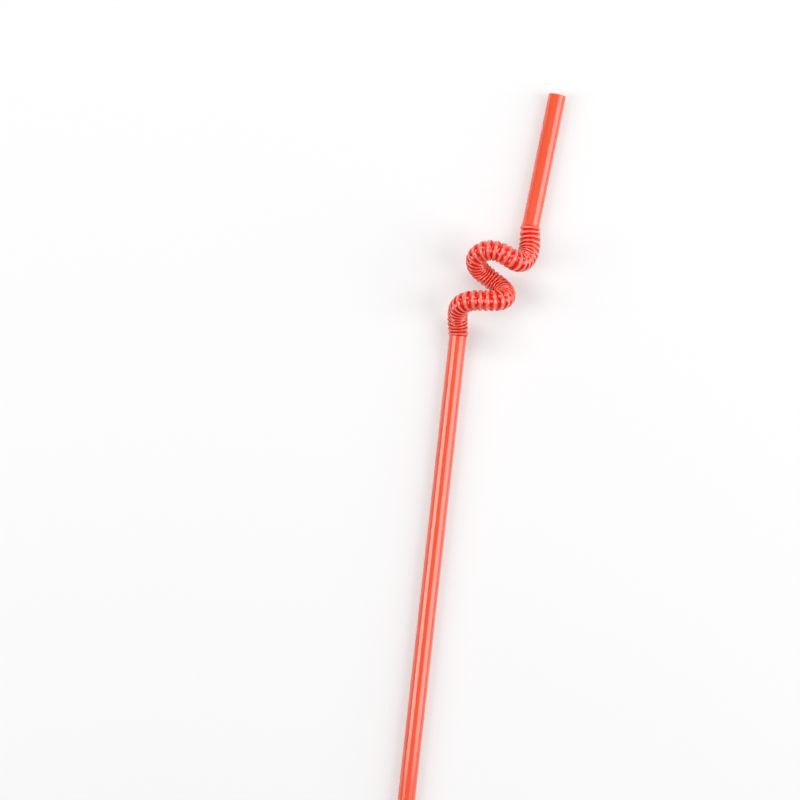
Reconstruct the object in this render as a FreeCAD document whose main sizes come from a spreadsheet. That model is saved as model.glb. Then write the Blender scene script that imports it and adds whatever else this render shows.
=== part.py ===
import FreeCAD, Part
import os
import sys

os.makedirs("parts", exist_ok=True)

Vector = FreeCAD.Vector
Rotation = FreeCAD.Rotation

# Driving sizes of the straw, in millimetres and degrees: alias, value, what it is
SIZES = [
    ("tube_diameter", 6.0, "outside of the plain tubes"),
    ("wall", 0.2, "wall of the tubes and of the bellows, measured across the straw"),
    ("long_length", 164.0, "plain tube from the foot to the bellows"),
    ("mouth_length", 45.7, "plain tube from the bellows to the mouth end"),
    ("ring_count", 34, "rings of the bellows, wide ones that stand for 51 narrow ones"),
    ("ridge_diameter", 7.4, "outside over a ridge where the bellows are pulled open"),
    ("shut_ridge_diameter", 6.2, "outside over a ridge where the rings are folded shut"),
    ("valley_diameter", 5.6, "outside in the valley between two ridges"),
    ("pitch_ratio", 2.2, "spacing of the rings where they are pulled open over that where they are shut"),
    ("curl_length", 40.2, "curled bellows along the straw, end to end"),
    ("curl_shift", 21.0, "how far the curl sets the mouth tube over to the side"),
    ("curl_height", 13.5, "how high the curl lifts its middle line above the tubes"),
    ("mouth_turn", 5.2, "turn of the mouth tube away from the long tube"),
]

# Middle line of the curl, from the long tube to the mouth tube: one and a half turns, pulled into a squiggle.
# Each station is a share of curl_shift, of curl_length and of curl_height, and how far its rings are open,
# from 0 for shut to 1 for open. The first and the last stand on the floor and are open alike.
CURL_STATIONS = [
    (0.000, 0.000, 0.000, 0.35),
    (-0.021, 0.079, 0.040, 0.20),
    (-0.044, 0.178, 0.270, 0.25),
    (-0.020, 0.250, 0.630, 0.60),
    (0.110, 0.296, 0.905, 0.80),
    (0.319, 0.316, 1.000, 1.00),
    (0.530, 0.329, 0.905, 1.00),
    (0.672, 0.368, 0.560, 0.90),
    (0.640, 0.432, 0.200, 0.90),
    (0.437, 0.508, 0.035, 0.80),
    (0.230, 0.576, 0.180, 0.75),
    (0.150, 0.634, 0.500, 0.80),
    (0.178, 0.688, 0.770, 0.90),
    (0.307, 0.724, 0.945, 1.00),
    (0.537, 0.724, 1.000, 1.00),
    (0.778, 0.700, 0.860, 1.00),
    (0.952, 0.725, 0.520, 0.90),
    (1.014, 0.816, 0.195, 0.80),
    (1.016, 0.910, 0.040, 0.60),
    (1.000, 1.000, 0.000, 0.35),
]

# Steps that the middle line is measured in, for each ring
STEPS_PER_RING = 24

# Largest gap between the measured outline and the true one, when the straw is centred on its origin
OUTLINE_STEP = 0.01

doc = FreeCAD.newDocument("straw")
sheet = doc.addObject("Spreadsheet::Sheet", "Sizes")
for row, (alias, value, meaning) in enumerate(SIZES, start=1):
    sheet.set(f"A{row}", alias)
    sheet.set(f"B{row}", str(value))
    sheet.set(f"C{row}", meaning)
    sheet.setAlias(f"B{row}", alias)
doc.recompute()


def ridge_radius(opening):
    """Outside radius of a ridge, larger where the rings are open."""
    growth = sheet.ridge_diameter - sheet.shut_ridge_diameter
    return (sheet.shut_ridge_diameter + opening * growth) / 2


# The straw lies on the floor on its two cut ends and on the rings beside its tubes
tube_radius = sheet.tube_diameter / 2
bellows_height = ridge_radius(CURL_STATIONS[0][3])
curl_start = Vector(0, 0, bellows_height)
curl_end = Vector(sheet.curl_shift, sheet.curl_length, bellows_height)
drop = Vector(0, 0, tube_radius - bellows_height)
mouth_direction = Rotation(Vector(0, 0, -1), sheet.mouth_turn).multVec(Vector(0, 1, 0))
long_axis = (Vector(0, -1, 0) * sheet.long_length + drop).normalize()
mouth_axis = (mouth_direction * sheet.mouth_length + drop).normalize()


def middle_line():
    """Smooth curve through the stations, in line with both tubes at its ends."""
    points = [
        curl_start + Vector(across * sheet.curl_shift, along * sheet.curl_length, height * sheet.curl_height)
        for across, along, height, opening in CURL_STATIONS
    ]
    curve = Part.BSplineCurve()
    curve.interpolate(Points=points, InitialTangent=long_axis * -1, FinalTangent=mouth_axis, Scale=False)
    return curve


def opening_at(curve, parameter):
    """How far the rings are open at a parameter, from 0 for shut to 1 for open."""
    knots = curve.getKnots()
    openings = [station[3] for station in CURL_STATIONS]
    for start, end, before, after in zip(knots, knots[1:], openings, openings[1:]):
        if parameter <= end:
            return before + (after - before) * (parameter - start) / (end - start)
    return openings[-1]


def half_ring_parameters(curve):
    """Parameters of the ends, ridges and valleys, spaced by how far the rings are open."""
    steps = int(sheet.ring_count) * STEPS_PER_RING
    first, last = curve.FirstParameter, curve.LastParameter
    samples = [first + (last - first) * step / steps for step in range(steps + 1)]
    rings = [0.0]
    for before, after in zip(samples, samples[1:]):
        opening = opening_at(curve, (before + after) / 2)
        spacing = 1 + opening * (sheet.pitch_ratio - 1)
        rings.append(rings[-1] + curve.length(before, after) / spacing)
    half_rings = 2 * int(sheet.ring_count)
    parameters = [first]
    step = 0
    for half_ring in range(1, half_rings):
        target = rings[-1] * half_ring / half_rings
        while rings[step + 1] < target:
            step += 1
        share = (target - rings[step]) / (rings[step + 1] - rings[step])
        parameters.append(samples[step] + share * (samples[step + 1] - samples[step]))
    return parameters + [last]


def outside_radius(curve, parameter, half_ring):
    """Radius of the tube at the ends, of a ridge at odd half rings and of a valley between them."""
    if half_ring in (0, 2 * int(sheet.ring_count)):
        return tube_radius
    if half_ring % 2 == 0:
        return sheet.valley_diameter / 2
    return ridge_radius(opening_at(curve, parameter))


def bellows_skin(curve, inset):
    """Solid inside one skin of the bellows, straight from each ridge to the next valley."""
    circles = []
    direction = Vector(0, 0, 1)
    turn = Rotation()
    for half_ring, parameter in enumerate(half_ring_parameters(curve)):
        tangent = curve.tangent(parameter)[0]
        turn = Rotation(direction, tangent).multiply(turn)
        direction = tangent
        circle = Part.makeCircle(outside_radius(curve, parameter, half_ring) - inset)
        circle.Placement = FreeCAD.Placement(curve.value(parameter), turn)
        circles.append(Part.Wire(circle))
    return Part.makeLoft(circles, True, True)


def cylinder(name, radius, length, start, axis):
    """Plain cylinder from start along axis, its radius and length bound to the sheet."""
    body = doc.addObject("Part::Cylinder", name)
    body.setExpression("Radius", radius)
    body.setExpression("Height", length)
    body.Placement = FreeCAD.Placement(start, Rotation(Vector(0, 0, 1), axis))
    return body


def tube(name, length, start, axis):
    """Plain tube, open at both ends."""
    wall = doc.addObject("Part::Cut", name)
    wall.Base = cylinder(f"{name}_outside", "Sizes.tube_diameter / 2", length, start, axis)
    wall.Tool = cylinder(f"{name}_bore", "Sizes.tube_diameter / 2 - Sizes.wall", length, start, axis)
    return wall


def bellows(name, curve):
    """Thin wall between the two skins of the bellows, open at both ends."""
    outside = doc.addObject("Part::Feature", f"{name}_outside")
    outside.Shape = bellows_skin(curve, 0.0)
    bore = doc.addObject("Part::Feature", f"{name}_bore")
    bore.Shape = bellows_skin(curve, sheet.wall)
    wall = doc.addObject("Part::Cut", name)
    wall.Base = outside
    wall.Tool = bore
    return wall


curl = middle_line()
straw = doc.addObject("Part::MultiFuse", "drinking_straw")
straw.Label = "drinking_straw"
straw.Shapes = [
    tube("long_tube", "Sizes.long_length", curl_start, long_axis),
    bellows("bellows", curl),
    tube("mouth_tube", "Sizes.mouth_length", curl_end, mouth_axis),
]
doc.recompute()

# Origin under the middle of the straw, on the floor
corners = straw.Shape.tessellate(OUTLINE_STEP)[0]
middle_x = (min(corner.x for corner in corners) + max(corner.x for corner in corners)) / 2
middle_y = (min(corner.y for corner in corners) + max(corner.y for corner in corners)) / 2
floor = min(corner.z for corner in corners)
straw.Placement = FreeCAD.Placement(Vector(-middle_x, -middle_y, -floor), Rotation())
doc.recompute()

for item in doc.Objects:
    if "Invalid" in item.State or "Error" in item.State:
        sys.exit(f"{item.Name} failed: {item.State}")
if straw.Shape.isNull() or not straw.Shape.isValid():
    sys.exit("the straw's shape is not valid")
print("curl length", round(curl.length(), 2), "volume", round(straw.Shape.Volume, 2), "solids", len(straw.Shape.Solids))
print("origin moved by", round(-middle_x, 3), round(-middle_y, 3), round(-floor, 4))
straw.Shape.exportStep(f"parts/{straw.Label}.step")
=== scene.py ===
import math

import bpy
import numpy as np
from mathutils import Matrix, Vector


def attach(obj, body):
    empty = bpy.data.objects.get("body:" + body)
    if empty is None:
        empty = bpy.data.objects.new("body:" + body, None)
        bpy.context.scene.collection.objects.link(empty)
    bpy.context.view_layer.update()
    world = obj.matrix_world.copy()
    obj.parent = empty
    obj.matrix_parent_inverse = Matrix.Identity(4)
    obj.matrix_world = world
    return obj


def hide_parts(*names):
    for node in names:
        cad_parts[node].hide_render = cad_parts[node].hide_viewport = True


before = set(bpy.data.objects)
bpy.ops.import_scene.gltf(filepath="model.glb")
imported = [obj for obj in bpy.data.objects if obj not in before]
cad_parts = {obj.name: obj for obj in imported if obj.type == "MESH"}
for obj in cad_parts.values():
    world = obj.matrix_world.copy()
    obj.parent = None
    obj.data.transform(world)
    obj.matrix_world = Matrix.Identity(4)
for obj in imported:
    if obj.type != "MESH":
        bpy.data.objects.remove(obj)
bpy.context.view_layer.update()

bl_info = {
    "name": "Bendy drinking straw",
    "version": (1, 0, 0),
    "blender": (4, 5, 0),
    "location": "3D View > Sidebar > Straw",
    "description": "Thin plastic drinking straw with long bellows, curled into a squiggle",
    "category": "Object",
}

NODE = "drinking_straw"
PIECE_NAME = "straw_body"
PATH_NAME = "straw_middle_line"

# Start of the bellows at the long tube: its place on the floor plan, in metres
CURL_START = (-0.011929, 0.039011)

# Middle line of the curl, from the long tube to the mouth tube. Each station is a share of the curl's shift,
# of its length and of its height, and how far its rings are open, from 0 for shut to 1 for open.
CURL_STATIONS = (
    (0.000, 0.000, 0.000, 0.60),
    (-0.021, 0.079, 0.040, 0.75),
    (-0.048, 0.178, 0.275, 0.70),
    (-0.028, 0.247, 0.650, 0.75),
    (0.104, 0.289, 0.920, 0.85),
    (0.326, 0.306, 1.000, 0.85),
    (0.542, 0.319, 0.925, 0.85),
    (0.687, 0.361, 0.600, 0.80),
    (0.654, 0.430, 0.220, 0.75),
    (0.447, 0.508, 0.035, 0.70),
    (0.235, 0.576, 0.180, 0.75),
    (0.153, 0.634, 0.520, 0.80),
    (0.182, 0.690, 0.800, 0.80),
    (0.314, 0.728, 0.955, 0.80),
    (0.540, 0.718, 1.000, 0.80),
    (0.768, 0.672, 0.880, 0.80),
    (0.918, 0.684, 0.565, 0.90),
    (1.008, 0.776, 0.215, 1.00),
    (1.012, 0.890, 0.045, 1.00),
    (1.000, 1.000, 0.000, 0.60),
)
OPENINGS = [station[3] for station in CURL_STATIONS]


def length(name, description, default):
    """Length property, in metres."""
    return bpy.props.FloatProperty(
        name=name, description=description, default=default, unit="LENGTH", precision=5
    )


def count(name, description, default):
    """Whole number property."""
    return bpy.props.IntProperty(name=name, description=description, default=default, min=1)


def share(name, description, default):
    """Plain number property."""
    return bpy.props.FloatProperty(name=name, description=description, default=default, precision=4)


def angle(name, description, degrees):
    """Angle property, given in degrees."""
    return bpy.props.FloatProperty(
        name=name, description=description, default=math.radians(degrees), subtype="ANGLE"
    )


def colour(name, description, default):
    """Linear colour property."""
    return bpy.props.FloatVectorProperty(
        name=name, description=description, default=default, subtype="COLOR", size=3, min=0.0, max=1.0
    )


class StrawSizes(bpy.types.PropertyGroup):
    """Sizes of the straw."""

    tube_diameter: length("Tube diameter", "Outside of the plain tubes", 0.006)
    wall: length("Wall", "Thickness of the plastic", 0.0002)
    long_length: length("Long tube", "Plain tube from the foot to the bellows", 0.164)
    mouth_length: length("Mouth tube", "Plain tube from the bellows to the mouth end", 0.0457)
    ring_count: count("Rings", "Rings of the bellows", 51)
    ridge_diameter: length("Open ridge", "Outside over a ridge where the rings are pulled open", 0.0073)
    shut_ridge_diameter: length("Shut ridge", "Outside over a ridge where the rings are folded shut", 0.0062)
    valley_diameter: length("Valley", "Outside in the valley between two ridges", 0.0059)
    pitch_ratio: share("Pitch ratio", "Spacing of the open rings over that of the shut ones", 2.2)
    curl_length: length("Curl length", "Curled bellows along the straw", 0.0402)
    curl_shift: length("Curl shift", "How far the curl sets the mouth tube over to the side", 0.02055)
    curl_height: length("Curl height", "How high the curl lifts its middle line", 0.013)
    mouth_turn: angle("Mouth turn", "Turn of the mouth tube away from the long tube", 5.2)
    sides: count("Sides", "Faces round the straw", 48)
    ring_steps: count("Ring steps", "Faces along one ring", 14)


class StrawFinish(bpy.types.PropertyGroup):
    """Colours and gloss of the plastic, with painted shade in the valleys and partly painted light on the
    crests.
    """

    plastic: colour("Plastic", "Colour of the plain tubes", (0.93, 0.10, 0.040))
    # Valley colour: painted shade, a deep saturated red between the rings that stands in for the shade and
    # red inter-reflection there
    valley: colour("Valley", "Colour deep between two rings", (0.88, 0.0006, 0.0004))
    # Crest colour: paler partly from the stretched plastic and partly painted light where the crests catch
    # the lamps
    crest: colour("Crest", "Colour of a ridge, paler where the plastic is stretched", (0.97, 0.22, 0.12))
    roughness: share("Roughness", "Roughness of the skin", 0.2)
    coat: share("Gloss", "Weight of the glossy skin", 0.95)
    subsurface: share("Glow", "How much light travels inside the plastic", 0.25)


class StrawStage(bpy.types.PropertyGroup):
    """Floor, light and camera."""

    floor: colour("Floor", "Colour of the floor", (0.80, 0.80, 0.80))
    floor_radius: length("Floor radius", "Half the width of the floor", 3.0)
    camera_height: length("Camera height", "Height of the camera above the straw's tubes", 0.700)
    camera_lens: share("Lens", "Focal length in millimetres on a 36 mm sensor", 92.0)
    light_distance: length("Light distance", "Distance of the soft boxes from the straw", 1.0)
    box_radiance: share("Soft box level", "Brightness of the soft boxes, where 1 is white", 4.2)
    sky_level: share("Sky level", "Brightness of the light from all round", 0.18)


# Node trees

# Numbers of the sockets that share their names with others of their node
TRIM_START, TRIM_END = 4, 5
RANDOM_LEAST, RANDOM_MOST, RANDOM_RESULT = 2, 3, 1
MIX_AMOUNT, MIX_FIRST, MIX_SECOND, MIX_RESULT = 0, 6, 7, 2


def add(tree, kind, inputs=None, **settings):
    """New node with its settings. inputs maps a socket's name or number to a value or to a socket."""
    new = tree.nodes.new(kind)
    for key, value in settings.items():
        setattr(new, key, value)
    for key, value in (inputs or {}).items():
        if isinstance(value, bpy.types.NodeSocket):
            tree.links.new(value, new.inputs[key])
        else:
            new.inputs[key].default_value = value
    return new


def maths(tree, operation, *values):
    """Result of one Math node on numbers or sockets."""
    return add(tree, "ShaderNodeMath", dict(enumerate(values)), operation=operation).outputs[0]


def named(tree, name, data_type="FLOAT"):
    """Socket of a named attribute in a Geometry Nodes tree."""
    node = add(tree, "GeometryNodeInputNamedAttribute", {"Name": name}, data_type=data_type)
    return node.outputs["Attribute"]


def store(tree, geometry, name, value, data_type="FLOAT"):
    """Geometry with a named attribute on its points."""
    return add(
        tree, "GeometryNodeStoreNamedAttribute", {"Geometry": geometry, "Name": name, "Value": value},
        data_type=data_type, domain="POINT",
    ).outputs["Geometry"]


def moved(tree, geometry, place):
    """Geometry with each point at a new place."""
    return add(tree, "GeometryNodeSetPosition", {"Geometry": geometry, "Position": place}).outputs[0]


def joined(tree, *geometries):
    """Several geometries as one."""
    node = add(tree, "GeometryNodeJoinGeometry")
    for geometry in geometries:
        tree.links.new(geometry, node.inputs[0])
    return node.outputs[0]


def recut(tree, curve, steps):
    """Curve cut into equal steps."""
    return add(tree, "GeometryNodeResampleCurve", {"Curve": curve, "Count": steps}, mode="COUNT").outputs[0]


# Straw


def straw_axes(sizes):
    """Ends of the curl and the directions in which the two plain tubes run from them."""
    end_growth = OPENINGS[0] * (sizes.ridge_diameter - sizes.shut_ridge_diameter)
    height = (sizes.shut_ridge_diameter + end_growth) / 2
    start = Vector((*CURL_START, height))
    end = start + Vector((sizes.curl_shift, sizes.curl_length, 0))
    drop = Vector((0, 0, sizes.tube_diameter / 2 - height))
    mouth_way = Vector((math.sin(sizes.mouth_turn), math.cos(sizes.mouth_turn), 0))
    long_axis = (Vector((0, -sizes.long_length, 0)) + drop).normalized()
    mouth_axis = (mouth_way * sizes.mouth_length + drop).normalized()
    return start, end, long_axis, mouth_axis


def smooth_tangents(points, steps, first, last):
    """Tangents of the smooth curve through the points, with the given directions at its ends."""
    number = len(points)
    left = np.zeros((number, number))
    right = np.zeros((number, 3))
    left[0, 0] = left[-1, -1] = 1
    right[0], right[-1] = first, last
    for i in range(1, number - 1):
        before, after = steps[i - 1], steps[i]
        slope_before = (points[i] - points[i - 1]) / before
        slope_after = (points[i + 1] - points[i]) / after
        left[i, i - 1 : i + 2] = after, 2 * (before + after), before
        right[i] = 3 * (after * slope_before + before * slope_after)
    return np.linalg.solve(left, right)


def straw_path(sizes):
    """Bezier curve along the straw's middle, foot to mouth end. Its radius says how open the rings are."""
    start, end, long_axis, mouth_axis = straw_axes(sizes)
    spans = np.array((sizes.curl_shift, sizes.curl_length, sizes.curl_height))
    points = np.array([station[:3] for station in CURL_STATIONS]) * spans + np.array(start)
    steps = np.linalg.norm(np.diff(points, axis=0), axis=1)
    tangents = smooth_tangents(points, steps, -np.array(long_axis), np.array(mouth_axis))
    foot = np.array(start + long_axis * sizes.long_length)
    mouth = np.array(end + mouth_axis * sizes.mouth_length)

    places = np.vstack([foot, points, mouth])
    reach = np.concatenate([[sizes.long_length], steps, [sizes.mouth_length]]) / 3
    ways = np.vstack([-np.array(long_axis), tangents, np.array(mouth_axis)])
    openings = [OPENINGS[0], *OPENINGS, OPENINGS[-1]]

    curve = bpy.data.curves.new(PATH_NAME, "CURVE")
    curve.dimensions = "3D"
    spline = curve.splines.new("BEZIER")
    spline.bezier_points.add(len(places) - 1)
    for i, knot in enumerate(spline.bezier_points):
        knot.handle_left_type = knot.handle_right_type = "FREE"
        knot.co = places[i]
        knot.handle_left = places[i] - ways[i] * reach[max(i - 1, 0)]
        knot.handle_right = places[i] + ways[i] * reach[min(i, len(reach) - 1)]
        knot.radius = openings[i]
    path = bpy.data.objects.new(PATH_NAME, curve)
    bpy.context.scene.collection.objects.link(path)
    return path


TREE_INPUTS = (
    ("Path", "NodeSocketObject"),
    ("Tube Diameter", "NodeSocketFloat"),
    ("Wall", "NodeSocketFloat"),
    ("Long Length", "NodeSocketFloat"),
    ("Mouth Length", "NodeSocketFloat"),
    ("Ring Count", "NodeSocketInt"),
    ("Ridge Diameter", "NodeSocketFloat"),
    ("Shut Ridge Diameter", "NodeSocketFloat"),
    ("Valley Diameter", "NodeSocketFloat"),
    ("Pitch Ratio", "NodeSocketFloat"),
    ("Sides", "NodeSocketInt"),
    ("Ring Steps", "NodeSocketInt"),
    ("Material", "NodeSocketMaterial"),
)

SPLINE_STEPS = 48     # steps between two stations of the path
DENSE_STEPS = 3000    # steps that the curl is measured in
TUBE_STEPS = 24       # faces along a plain tube
LIP_STEPS = 4         # faces of the rounding at a cut end
LIP_LENGTH = 0.0001   # length of that rounding
RIDGE_WIDTH = 2.0     # roundness of a ridge, larger for a flatter top
RIDGE_SPREAD = 0.035  # how much one ring's height differs from the next, as a share
RIDGE_SEED = 5        # seed of that difference
WELD = 0.000001       # points nearer than this become one


def tube_points(tree, path, tube_length, total, from_mouth):
    """Points of a plain tube from its cut end to the bellows, with a rounded lip at the cut end."""
    points = add(tree, "GeometryNodePoints", {"Count": LIP_STEPS + TUBE_STEPS}).outputs[0]
    index = add(tree, "GeometryNodeInputIndex").outputs[0]
    lip_step = maths(tree, "MINIMUM", index, float(LIP_STEPS))
    lip_turn = maths(tree, "MULTIPLY", lip_step, math.pi / 2 / LIP_STEPS)
    lip = maths(tree, "SUBTRACT", 1.0, maths(tree, "SINE", lip_turn))
    rounding = maths(tree, "SUBTRACT", 1.0, maths(tree, "COSINE", lip_turn))
    along_lip = maths(tree, "MULTIPLY", rounding, LIP_LENGTH)
    tube_step = maths(tree, "MAXIMUM", maths(tree, "SUBTRACT", index, float(LIP_STEPS)), 0.0)
    past_lip = maths(tree, "SUBTRACT", tube_length, LIP_LENGTH)
    along_tube = add(
        tree, "ShaderNodeMapRange", {"Value": tube_step, "From Max": float(TUBE_STEPS), "To Max": past_lip},
        interpolation_type="SMOOTHERSTEP",
    ).outputs[0]
    distance = maths(tree, "ADD", along_lip, along_tube)
    if from_mouth:
        distance = maths(tree, "SUBTRACT", total, distance)
    geometry = store(tree, points, "distance", distance)
    geometry = store(tree, geometry, "lip", lip)
    place = add(
        tree, "GeometryNodeSampleCurve", {"Curves": path, "Length": named(tree, "distance")}, mode="LENGTH"
    ).outputs["Position"]
    return moved(tree, geometry, place)


def bellows_points(tree, sockets, path, total):
    """Points of the bellows, the same number for each ring, closer together where the rings are shut."""
    bellows_end = maths(tree, "SUBTRACT", total, sockets["Mouth Length"])
    trimmed = add(
        tree, "GeometryNodeTrimCurve",
        {"Curve": path, TRIM_START: sockets["Long Length"], TRIM_END: bellows_end}, mode="LENGTH",
    ).outputs[0]
    dense = recut(tree, trimmed, DENSE_STEPS)
    dense = store(tree, dense, "opening", add(tree, "GeometryNodeInputRadius").outputs[0])
    along = add(tree, "GeometryNodeSplineParameter").outputs["Length"]
    dense = store(tree, dense, "distance", maths(tree, "ADD", along, sockets["Long Length"]))
    dense = store(tree, dense, "place", add(tree, "GeometryNodeInputPosition").outputs[0], "FLOAT_VECTOR")

    # Unrolled so that its length counts rings, cut into equal steps, and rolled up again
    growth = maths(tree, "SUBTRACT", sockets["Pitch Ratio"], 1.0)
    spacing = maths(tree, "MULTIPLY_ADD", named(tree, "opening"), growth, 1.0)
    turns = maths(tree, "DIVIDE", 1.0, spacing)
    rings = add(tree, "GeometryNodeAccumulateField", {"Value": turns}).outputs["Trailing"]
    unrolled = moved(tree, dense, add(tree, "ShaderNodeCombineXYZ", {"X": rings}).outputs[0])
    steps = maths(tree, "MULTIPLY_ADD", sockets["Ring Count"], sockets["Ring Steps"], 1.0)
    rolled = moved(tree, recut(tree, unrolled, steps), named(tree, "place", "FLOAT_VECTOR"))
    points = add(tree, "GeometryNodeCurveToPoints", {"Curve": rolled}, mode="EVALUATED").outputs["Points"]
    index = add(tree, "GeometryNodeInputIndex").outputs[0]
    return store(tree, points, "ring", maths(tree, "DIVIDE", index, sockets["Ring Steps"]))


def ring_shape(tree, sockets, points):
    """Stores how far each point stands up on its ring, and its radius."""
    ring = named(tree, "ring")
    twice = maths(tree, "MULTIPLY", maths(tree, "FRACT", ring), 2.0)
    from_crest = maths(tree, "ABSOLUTE", maths(tree, "SUBTRACT", twice, 1.0))
    rounded = maths(tree, "SUBTRACT", 1.0, maths(tree, "POWER", from_crest, RIDGE_WIDTH))
    crest = maths(tree, "MAXIMUM", rounded, 0.0)
    points = store(tree, points, "crest", crest)

    # The first and the last ring run into the plain tubes, and all others down to a valley
    tube = maths(tree, "MULTIPLY", sockets["Tube Diameter"], 0.5)
    valley = maths(tree, "MULTIPLY", sockets["Valley Diameter"], 0.5)
    from_end = maths(tree, "MINIMUM", ring, maths(tree, "SUBTRACT", sockets["Ring Count"], ring))
    sunk = maths(tree, "MINIMUM", maths(tree, "MULTIPLY", from_end, 2.0), 1.0)
    foot = maths(tree, "MULTIPLY_ADD", sunk, maths(tree, "SUBTRACT", valley, tube), tube)
    growth = maths(tree, "SUBTRACT", sockets["Ridge Diameter"], sockets["Shut Ridge Diameter"])
    ridge = maths(tree, "MULTIPLY_ADD", named(tree, "opening"), growth, sockets["Shut Ridge Diameter"])
    rise = maths(tree, "SUBTRACT", maths(tree, "MULTIPLY", ridge, 0.5), foot)
    spread = add(
        tree, "FunctionNodeRandomValue",
        {
            RANDOM_LEAST: 1.0 - RIDGE_SPREAD, RANDOM_MOST: 1.0,
            "ID": maths(tree, "FLOOR", ring), "Seed": RIDGE_SEED,
        },
        data_type="FLOAT",
    ).outputs[RANDOM_RESULT]
    radius = maths(tree, "MULTIPLY_ADD", maths(tree, "MULTIPLY", crest, spread), rise, foot)
    return store(tree, points, "skin", radius)


def straw_skins(tree, sockets, line):
    """Outer and inner skin of the whole straw round its line, which meet at the rounded lips of both ends."""
    circle = add(
        tree, "GeometryNodeCurvePrimitiveCircle", {"Resolution": sockets["Sides"], "Radius": 1.0}
    ).outputs[0]
    circle = store(tree, circle, "round", add(tree, "GeometryNodeInputPosition").outputs[0], "FLOAT_VECTOR")
    half_wall = maths(tree, "MULTIPLY", sockets["Wall"], 0.5)
    lip_inset = maths(tree, "MULTIPLY", named(tree, "lip"), half_wall)
    outside = maths(tree, "SUBTRACT", named(tree, "skin"), lip_inset)
    inside = maths(tree, "ADD", maths(tree, "SUBTRACT", named(tree, "skin"), sockets["Wall"]), lip_inset)
    outer, inner = (
        add(
            tree, "GeometryNodeCurveToMesh", {"Curve": line, "Profile Curve": circle, "Scale": radius}
        ).outputs[0]
        for radius in (outside, inside)
    )
    inner = add(tree, "GeometryNodeFlipFaces", {"Mesh": inner}).outputs[0]
    both = joined(tree, outer, inner)
    return add(tree, "GeometryNodeMergeByDistance", {"Geometry": both, "Distance": WELD}).outputs[0]


def straw_tree():
    """Geometry Nodes tree of the whole straw along its path: two plain tubes and the bellows between them."""
    tree = bpy.data.node_groups.new("Bendy Straw", "GeometryNodeTree")
    tree.interface.new_socket("Geometry", in_out="INPUT", socket_type="NodeSocketGeometry")
    for name, kind in TREE_INPUTS:
        tree.interface.new_socket(name, in_out="INPUT", socket_type=kind)
    tree.interface.new_socket("Geometry", in_out="OUTPUT", socket_type="NodeSocketGeometry")
    sockets = add(tree, "NodeGroupInput").outputs

    info = add(tree, "GeometryNodeObjectInfo", {"Object": sockets["Path"]}, transform_space="ORIGINAL")
    path = add(
        tree, "GeometryNodeSetSplineResolution",
        {"Geometry": info.outputs["Geometry"], "Resolution": SPLINE_STEPS},
    ).outputs[0]
    path = add(tree, "GeometryNodeResampleCurve", {"Curve": path}, mode="EVALUATED").outputs[0]
    total = add(tree, "GeometryNodeCurveLength", {"Curve": path}).outputs[0]

    long_tube = tube_points(tree, path, sockets["Long Length"], total, False)
    mouth_tube = tube_points(tree, path, sockets["Mouth Length"], total, True)
    tube_radius = maths(tree, "MULTIPLY", sockets["Tube Diameter"], 0.5)
    plain = store(tree, joined(tree, long_tube, mouth_tube), "skin", tube_radius)
    plain = store(tree, plain, "plain", 1.0)
    ringed = ring_shape(tree, sockets, bellows_points(tree, sockets, path, total))
    line = add(
        tree, "GeometryNodePointsToCurves",
        {"Points": joined(tree, plain, ringed), "Weight": named(tree, "distance")},
    ).outputs[0]

    straw = straw_skins(tree, sockets, line)
    straw = add(tree, "GeometryNodeSetShadeSmooth", {"Geometry": straw}).outputs[0]
    straw = add(tree, "GeometryNodeRealizeInstances", {"Geometry": straw}).outputs[0]
    straw = add(
        tree, "GeometryNodeSetMaterial", {"Geometry": straw, "Material": sockets["Material"]}
    ).outputs[0]
    tree.links.new(straw, add(tree, "NodeGroupOutput").inputs[0])
    return tree


# What is the same all over the plastic, besides the values of StrawFinish
PLASTIC = {
    "IOR": 1.5,
    "Specular IOR Level": 0.3,
    "Coat Roughness": 0.12,
    "Subsurface Radius": (1.0, 0.25, 0.15),
    "Subsurface Scale": 0.0015,
}

VALLEY_SHADE_FROM, VALLEY_SHADE_TO = 0.71, 0.996     # heights on a ring between which the valley's painted shade gives way
SHUT_STRETCH = 0.4                   # how much of the crest's colour a shut ring has
LINES_ALONG = 6.0                    # length of their pattern in a metre of straw, beside 1 for its radius
LINES = {"Scale": 9.0, "Detail": 3.0, "Roughness": 0.6}
LINES_TONE = (0.93, 1.05)            # least and greatest share of the colour that the lines leave
LINES_ROUGHNESS = (-0.05, 0.07)      # least and greatest change of the roughness in the lines
LINES_STRENGTH = 0.06                # strength of the lines' relief
LINES_DEPTH = 0.0002                 # and its depth


def mixed_colour(tree, amount, first, second):
    """Colour between two others."""
    inputs = {MIX_AMOUNT: amount, MIX_FIRST: first, MIX_SECOND: second}
    return add(tree, "ShaderNodeMix", inputs, data_type="RGBA").outputs[MIX_RESULT]


def spread_over(tree, value, low, high):
    """Value from 0 to 1, spread from low to high."""
    return add(tree, "ShaderNodeMapRange", {"Value": value, "To Min": low, "To Max": high}).outputs[0]


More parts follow.
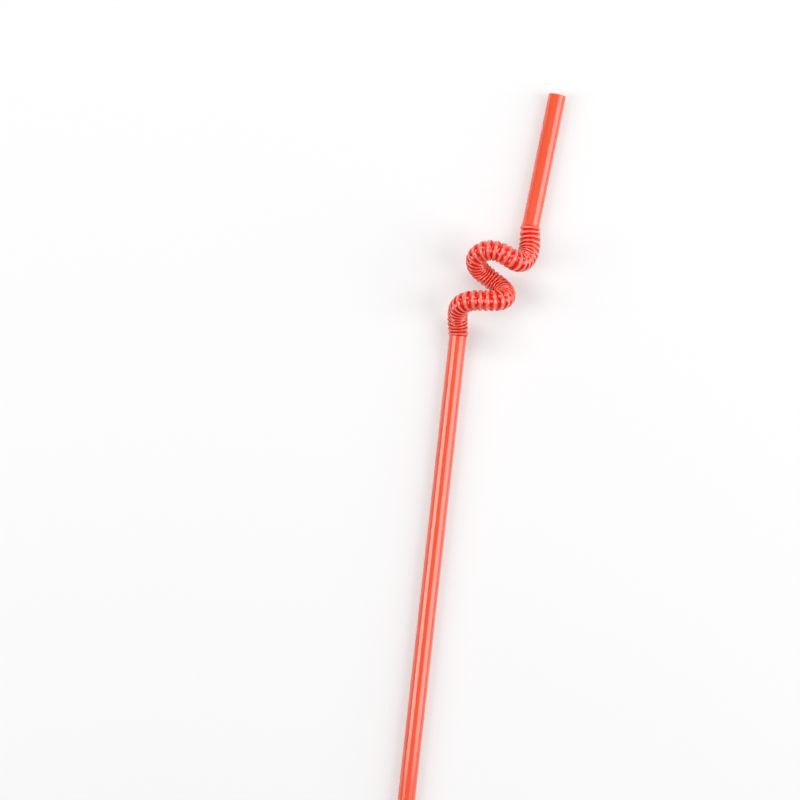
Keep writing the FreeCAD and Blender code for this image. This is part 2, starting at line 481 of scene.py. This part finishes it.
def straw_plastic(finish):
    """Thin glossy plastic: drawn lengthwise, paler on the crests, partly from stretching and partly painted
    light, with painted shade deep between the rings.
    """
    material = bpy.data.materials.new("straw_plastic_gloss")
    material.use_nodes = True
    tree = material.node_tree
    shader = tree.nodes["Principled BSDF"]
    for name, value in PLASTIC.items():
        shader.inputs[name].default_value = value
    shader.inputs["Coat Weight"].default_value = finish.coat
    shader.inputs["Subsurface Weight"].default_value = finish.subsurface

    def attribute(name, output="Fac"):
        return add(tree, "ShaderNodeAttribute", attribute_name=name).outputs[output]

    # Pattern of lines, on coordinates round and along the straw
    steps_along = maths(tree, "MULTIPLY", attribute("distance"), LINES_ALONG)
    along = add(tree, "ShaderNodeCombineXYZ", {"Z": steps_along}).outputs[0]
    drawn = add(
        tree, "ShaderNodeVectorMath", {0: attribute("round", "Vector"), 1: along}, operation="ADD"
    ).outputs[0]
    lines = add(tree, "ShaderNodeTexNoise", {"Vector": drawn, **LINES}).outputs["Fac"]

    plastic, valley, crest = ((*rgb, 1) for rgb in (finish.plastic, finish.valley, finish.crest))
    # Painted shade: the valley colour darkens and saturates the plastic between the rings; the crest colour
    # is partly stretched plastic and partly painted light
    height = attribute("crest")
    out_of_valley_shade = add(
        tree, "ShaderNodeMapRange", {"Value": height, "From Min": VALLEY_SHADE_FROM, "From Max": VALLEY_SHADE_TO},
        interpolation_type="SMOOTHSTEP",
    ).outputs[0]
    stretch_and_light = maths(tree, "MULTIPLY_ADD", attribute("opening"), 1.0 - SHUT_STRETCH, SHUT_STRETCH)
    ridge = mixed_colour(tree, maths(tree, "MULTIPLY", height, stretch_and_light), plastic, crest)
    # The valley's painted shade lies under the ridge colour, up to the crest tops
    ringed = mixed_colour(tree, out_of_valley_shade, valley, ridge)
    base = mixed_colour(tree, attribute("plain"), ringed, plastic)
    tone = spread_over(tree, lines, *LINES_TONE)
    toned = add(tree, "ShaderNodeVectorMath", {0: base, "Scale": tone}, operation="SCALE").outputs[0]
    tree.links.new(toned, shader.inputs["Base Color"])

    less, more = LINES_ROUGHNESS
    rough = spread_over(tree, lines, finish.roughness + less, finish.roughness + more)
    tree.links.new(rough, shader.inputs["Roughness"])
    bump = add(
        tree, "ShaderNodeBump", {"Height": lines, "Strength": LINES_STRENGTH, "Distance": LINES_DEPTH}
    ).outputs[0]
    tree.links.new(bump, shader.inputs["Normal"])
    return material


def grow_straw(sizes, material):
    """Mesh object of the whole straw, grown along its path."""
    path = straw_path(sizes)
    straw = bpy.data.objects.new(PIECE_NAME, bpy.data.meshes.new("seed"))
    bpy.context.scene.collection.objects.link(straw)
    modifier = straw.modifiers.new("Straw", "NODES")
    modifier.node_group = straw_tree()
    values = {
        "Path": path,
        "Tube Diameter": sizes.tube_diameter,
        "Wall": sizes.wall,
        "Long Length": sizes.long_length,
        "Mouth Length": sizes.mouth_length,
        "Ring Count": sizes.ring_count,
        "Ridge Diameter": sizes.ridge_diameter,
        "Shut Ridge Diameter": sizes.shut_ridge_diameter,
        "Valley Diameter": sizes.valley_diameter,
        "Pitch Ratio": sizes.pitch_ratio,
        "Sides": sizes.sides,
        "Ring Steps": sizes.ring_steps,
        "Material": material,
    }
    for item in modifier.node_group.interface.items_tree:
        if item.item_type == "SOCKET" and item.in_out == "INPUT" and item.name in values:
            modifier[item.identifier] = values[item.name]
    evaluated = straw.evaluated_get(bpy.context.evaluated_depsgraph_get())
    mesh = bpy.data.meshes.new_from_object(evaluated)
    straw.modifiers.remove(modifier)
    straw.data = mesh
    mesh.name = PIECE_NAME
    for name in ("place", "ring", "skin", "lip"):
        if name in mesh.attributes:
            mesh.attributes.remove(mesh.attributes[name])
    bpy.data.objects.remove(path)
    return straw


class STRAW_OT_body(bpy.types.Operator):
    """Makes the straw: the long tube, the curled bellows and the mouth tube, in one piece"""

    bl_idname = "straw.body"
    bl_label = "Make Straw"

    def execute(self, context):
        scene = context.scene
        material = straw_plastic(scene.straw_finish)
        straw = grow_straw(scene.straw_sizes, material)
        if not straw.data.polygons:
            raise RuntimeError("the straw came out empty")
        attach(straw, "root")
        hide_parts(NODE)
        return {"FINISHED"}


# Stage

CAMERA_PLACE = (-0.02922, 0.01505)
CAMERA_TURN = math.atan(0.11135)  # from the slope of the long tube in the photograph
CAMERA_FOCUS = 0.003              # height above the floor that the camera's height is counted from
CAMERA_SENSOR = 36.0              # width of the sensor in millimetres
CAMERA_CLIP = 0.01                # nothing nearer to the camera is seen
LIT_PLACE = Vector((-0.012, 0.0, 0.003))  # what the soft boxes face

# Soft boxes round the camera: name, the way they stand from the straw in degrees, angles from overhead of
# their near and far edges, their ends across that way in metres, and how bright they are beside the level
SOFT_BOXES = (
    ("left_box", 180.0, 26.0, 69.0, -0.11, 0.30, 1.25),
    ("right_box", 0.0, 27.0, 80.0, -0.30, 0.27, 1.0),
    ("far_box", 90.0, 36.0, 47.0, -0.60, 0.60, 1.8),
)

# The floor that the camera sees grows whiter between two distances from its middle
WHITE_DISTANCES = (0.15, 0.60)
WHITE_SHARES = (0.35, 1.0)


def floor_material(stage):
    """Pale floor that keeps the shadow and reads as white around it."""
    material = bpy.data.materials.new("pale_floor")
    material.use_nodes = True
    tree = material.node_tree
    tree.nodes.remove(tree.nodes["Principled BSDF"])
    output = tree.nodes["Material Output"]
    matt = add(tree, "ShaderNodeBsdfDiffuse", {"Color": (*stage.floor, 1)}).outputs[0]
    white = add(tree, "ShaderNodeEmission", {"Color": (1, 1, 1, 1), "Strength": 1.0}).outputs[0]
    seen = add(tree, "ShaderNodeLightPath").outputs["Is Camera Ray"]
    place = add(tree, "ShaderNodeTexCoord").outputs["Object"]
    away = add(tree, "ShaderNodeVectorMath", {0: place}, operation="LENGTH").outputs["Value"]
    near, far = WHITE_DISTANCES
    least, most = WHITE_SHARES
    whiteness = add(
        tree, "ShaderNodeMapRange",
        {"Value": away, "From Min": near, "From Max": far, "To Min": least, "To Max": most},
        interpolation_type="SMOOTHSTEP",
    ).outputs[0]
    seen_white = maths(tree, "MULTIPLY", seen, whiteness)
    surface = add(tree, "ShaderNodeMixShader", {0: seen_white, 1: matt, 2: white}).outputs[0]
    tree.links.new(surface, output.inputs["Surface"])
    return material


def make_floor(stage):
    """Flat floor under the straw."""
    reach = stage.floor_radius
    corners = [(-reach, -reach, 0), (reach, -reach, 0), (reach, reach, 0), (-reach, reach, 0)]
    mesh = bpy.data.meshes.new("floor")
    mesh.from_pydata(corners, [], [(0, 1, 2, 3)])
    floor = bpy.data.objects.new("floor", mesh)
    mesh.materials.append(floor_material(stage))
    bpy.context.scene.collection.objects.link(floor)


def make_soft_box(stage, name, way, near, far, low, high, level):
    """Rectangular soft box that shows in the straw's gloss as a bright strip."""
    middle = math.radians((near + far) / 2)
    half = math.radians((far - near) / 2)
    distance = stage.light_distance
    light = bpy.data.lights.new(name, "AREA")
    light.shape = "RECTANGLE"
    light.size = 2 * distance * math.tan(half)
    light.size_y = high - low
    light.energy = stage.box_radiance * level * math.pi * light.size * light.size_y
    box = bpy.data.objects.new(name, light)
    place = Vector((distance * math.sin(middle), (low + high) / 2, distance * math.cos(middle)))
    turned = Matrix.Rotation(math.radians(way), 4, "Z") @ Matrix.Translation(place)
    facing = turned @ Matrix.Rotation(middle, 4, "Y")
    box.matrix_world = Matrix.Translation(LIT_PLACE) @ facing
    box.visible_camera = False
    bpy.context.scene.collection.objects.link(box)


def make_world(stage):
    """Even light from all round, seen as white."""
    world = bpy.data.worlds.new("studio")
    world.use_nodes = True
    tree = world.node_tree
    background = tree.nodes["Background"]
    background.inputs["Color"].default_value = (1, 1, 1, 1)
    seen = add(tree, "ShaderNodeLightPath").outputs["Is Camera Ray"]
    extra = maths(tree, "MULTIPLY", seen, 1.0 - stage.sky_level)
    tree.links.new(maths(tree, "ADD", extra, stage.sky_level), background.inputs["Strength"])
    bpy.context.scene.world = world


def make_camera(stage):
    """Camera straight above the straw, turned a little as in the photograph."""
    camera = bpy.data.cameras.new("camera")
    camera.lens = stage.camera_lens
    camera.sensor_width = CAMERA_SENSOR
    camera.clip_start = CAMERA_CLIP
    holder = bpy.data.objects.new("camera", camera)
    holder.location = (*CAMERA_PLACE, CAMERA_FOCUS + stage.camera_height)
    holder.rotation_euler = (0, 0, CAMERA_TURN)
    bpy.context.scene.collection.objects.link(holder)
    bpy.context.scene.camera = holder


class STRAW_OT_stage(bpy.types.Operator):
    """Sets the pale floor, the soft boxes, the even light and the camera"""

    bl_idname = "straw.stage"
    bl_label = "Set Stage"

    def execute(self, context):
        stage = context.scene.straw_stage
        make_floor(stage)
        for box in SOFT_BOXES:
            make_soft_box(stage, *box)
        make_world(stage)
        make_camera(stage)
        context.scene.view_settings.view_transform = "Standard"
        return {"FINISHED"}


class STRAW_PT_panel(bpy.types.Panel):
    """Lists the straw's sizes, its finish and its stage"""

    bl_idname = "STRAW_PT_panel"
    bl_label = "Bendy Straw"
    bl_space_type = "VIEW_3D"
    bl_region_type = "UI"
    bl_category = "Straw"

    def draw(self, context):
        scene = context.scene
        for title, group, operator in (
            ("Sizes", scene.straw_sizes, None),
            ("Finish", scene.straw_finish, STRAW_OT_body.bl_idname),
            ("Stage", scene.straw_stage, STRAW_OT_stage.bl_idname),
        ):
            box = self.layout.box()
            box.label(text=title)
            for name in group.__annotations__:
                box.prop(group, name)
            if operator:
                box.operator(operator)


CLASSES = (StrawSizes, StrawFinish, StrawStage, STRAW_OT_body, STRAW_OT_stage, STRAW_PT_panel)
GROUPS = {"straw_sizes": StrawSizes, "straw_finish": StrawFinish, "straw_stage": StrawStage}


def register():
    """Registers the add-on's classes and hangs its values on the scene."""
    for item in CLASSES:
        bpy.utils.register_class(item)
    for name, group in GROUPS.items():
        setattr(bpy.types.Scene, name, bpy.props.PointerProperty(type=group))


def unregister():
    """Takes the values and the classes away again."""
    for name in GROUPS:
        delattr(bpy.types.Scene, name)
    for item in reversed(CLASSES):
        bpy.utils.unregister_class(item)


def main():
    """Makes the straw and its stage."""
    register()
    bpy.ops.straw.body()
    bpy.ops.straw.stage()


if __name__ == "__main__":
    main()
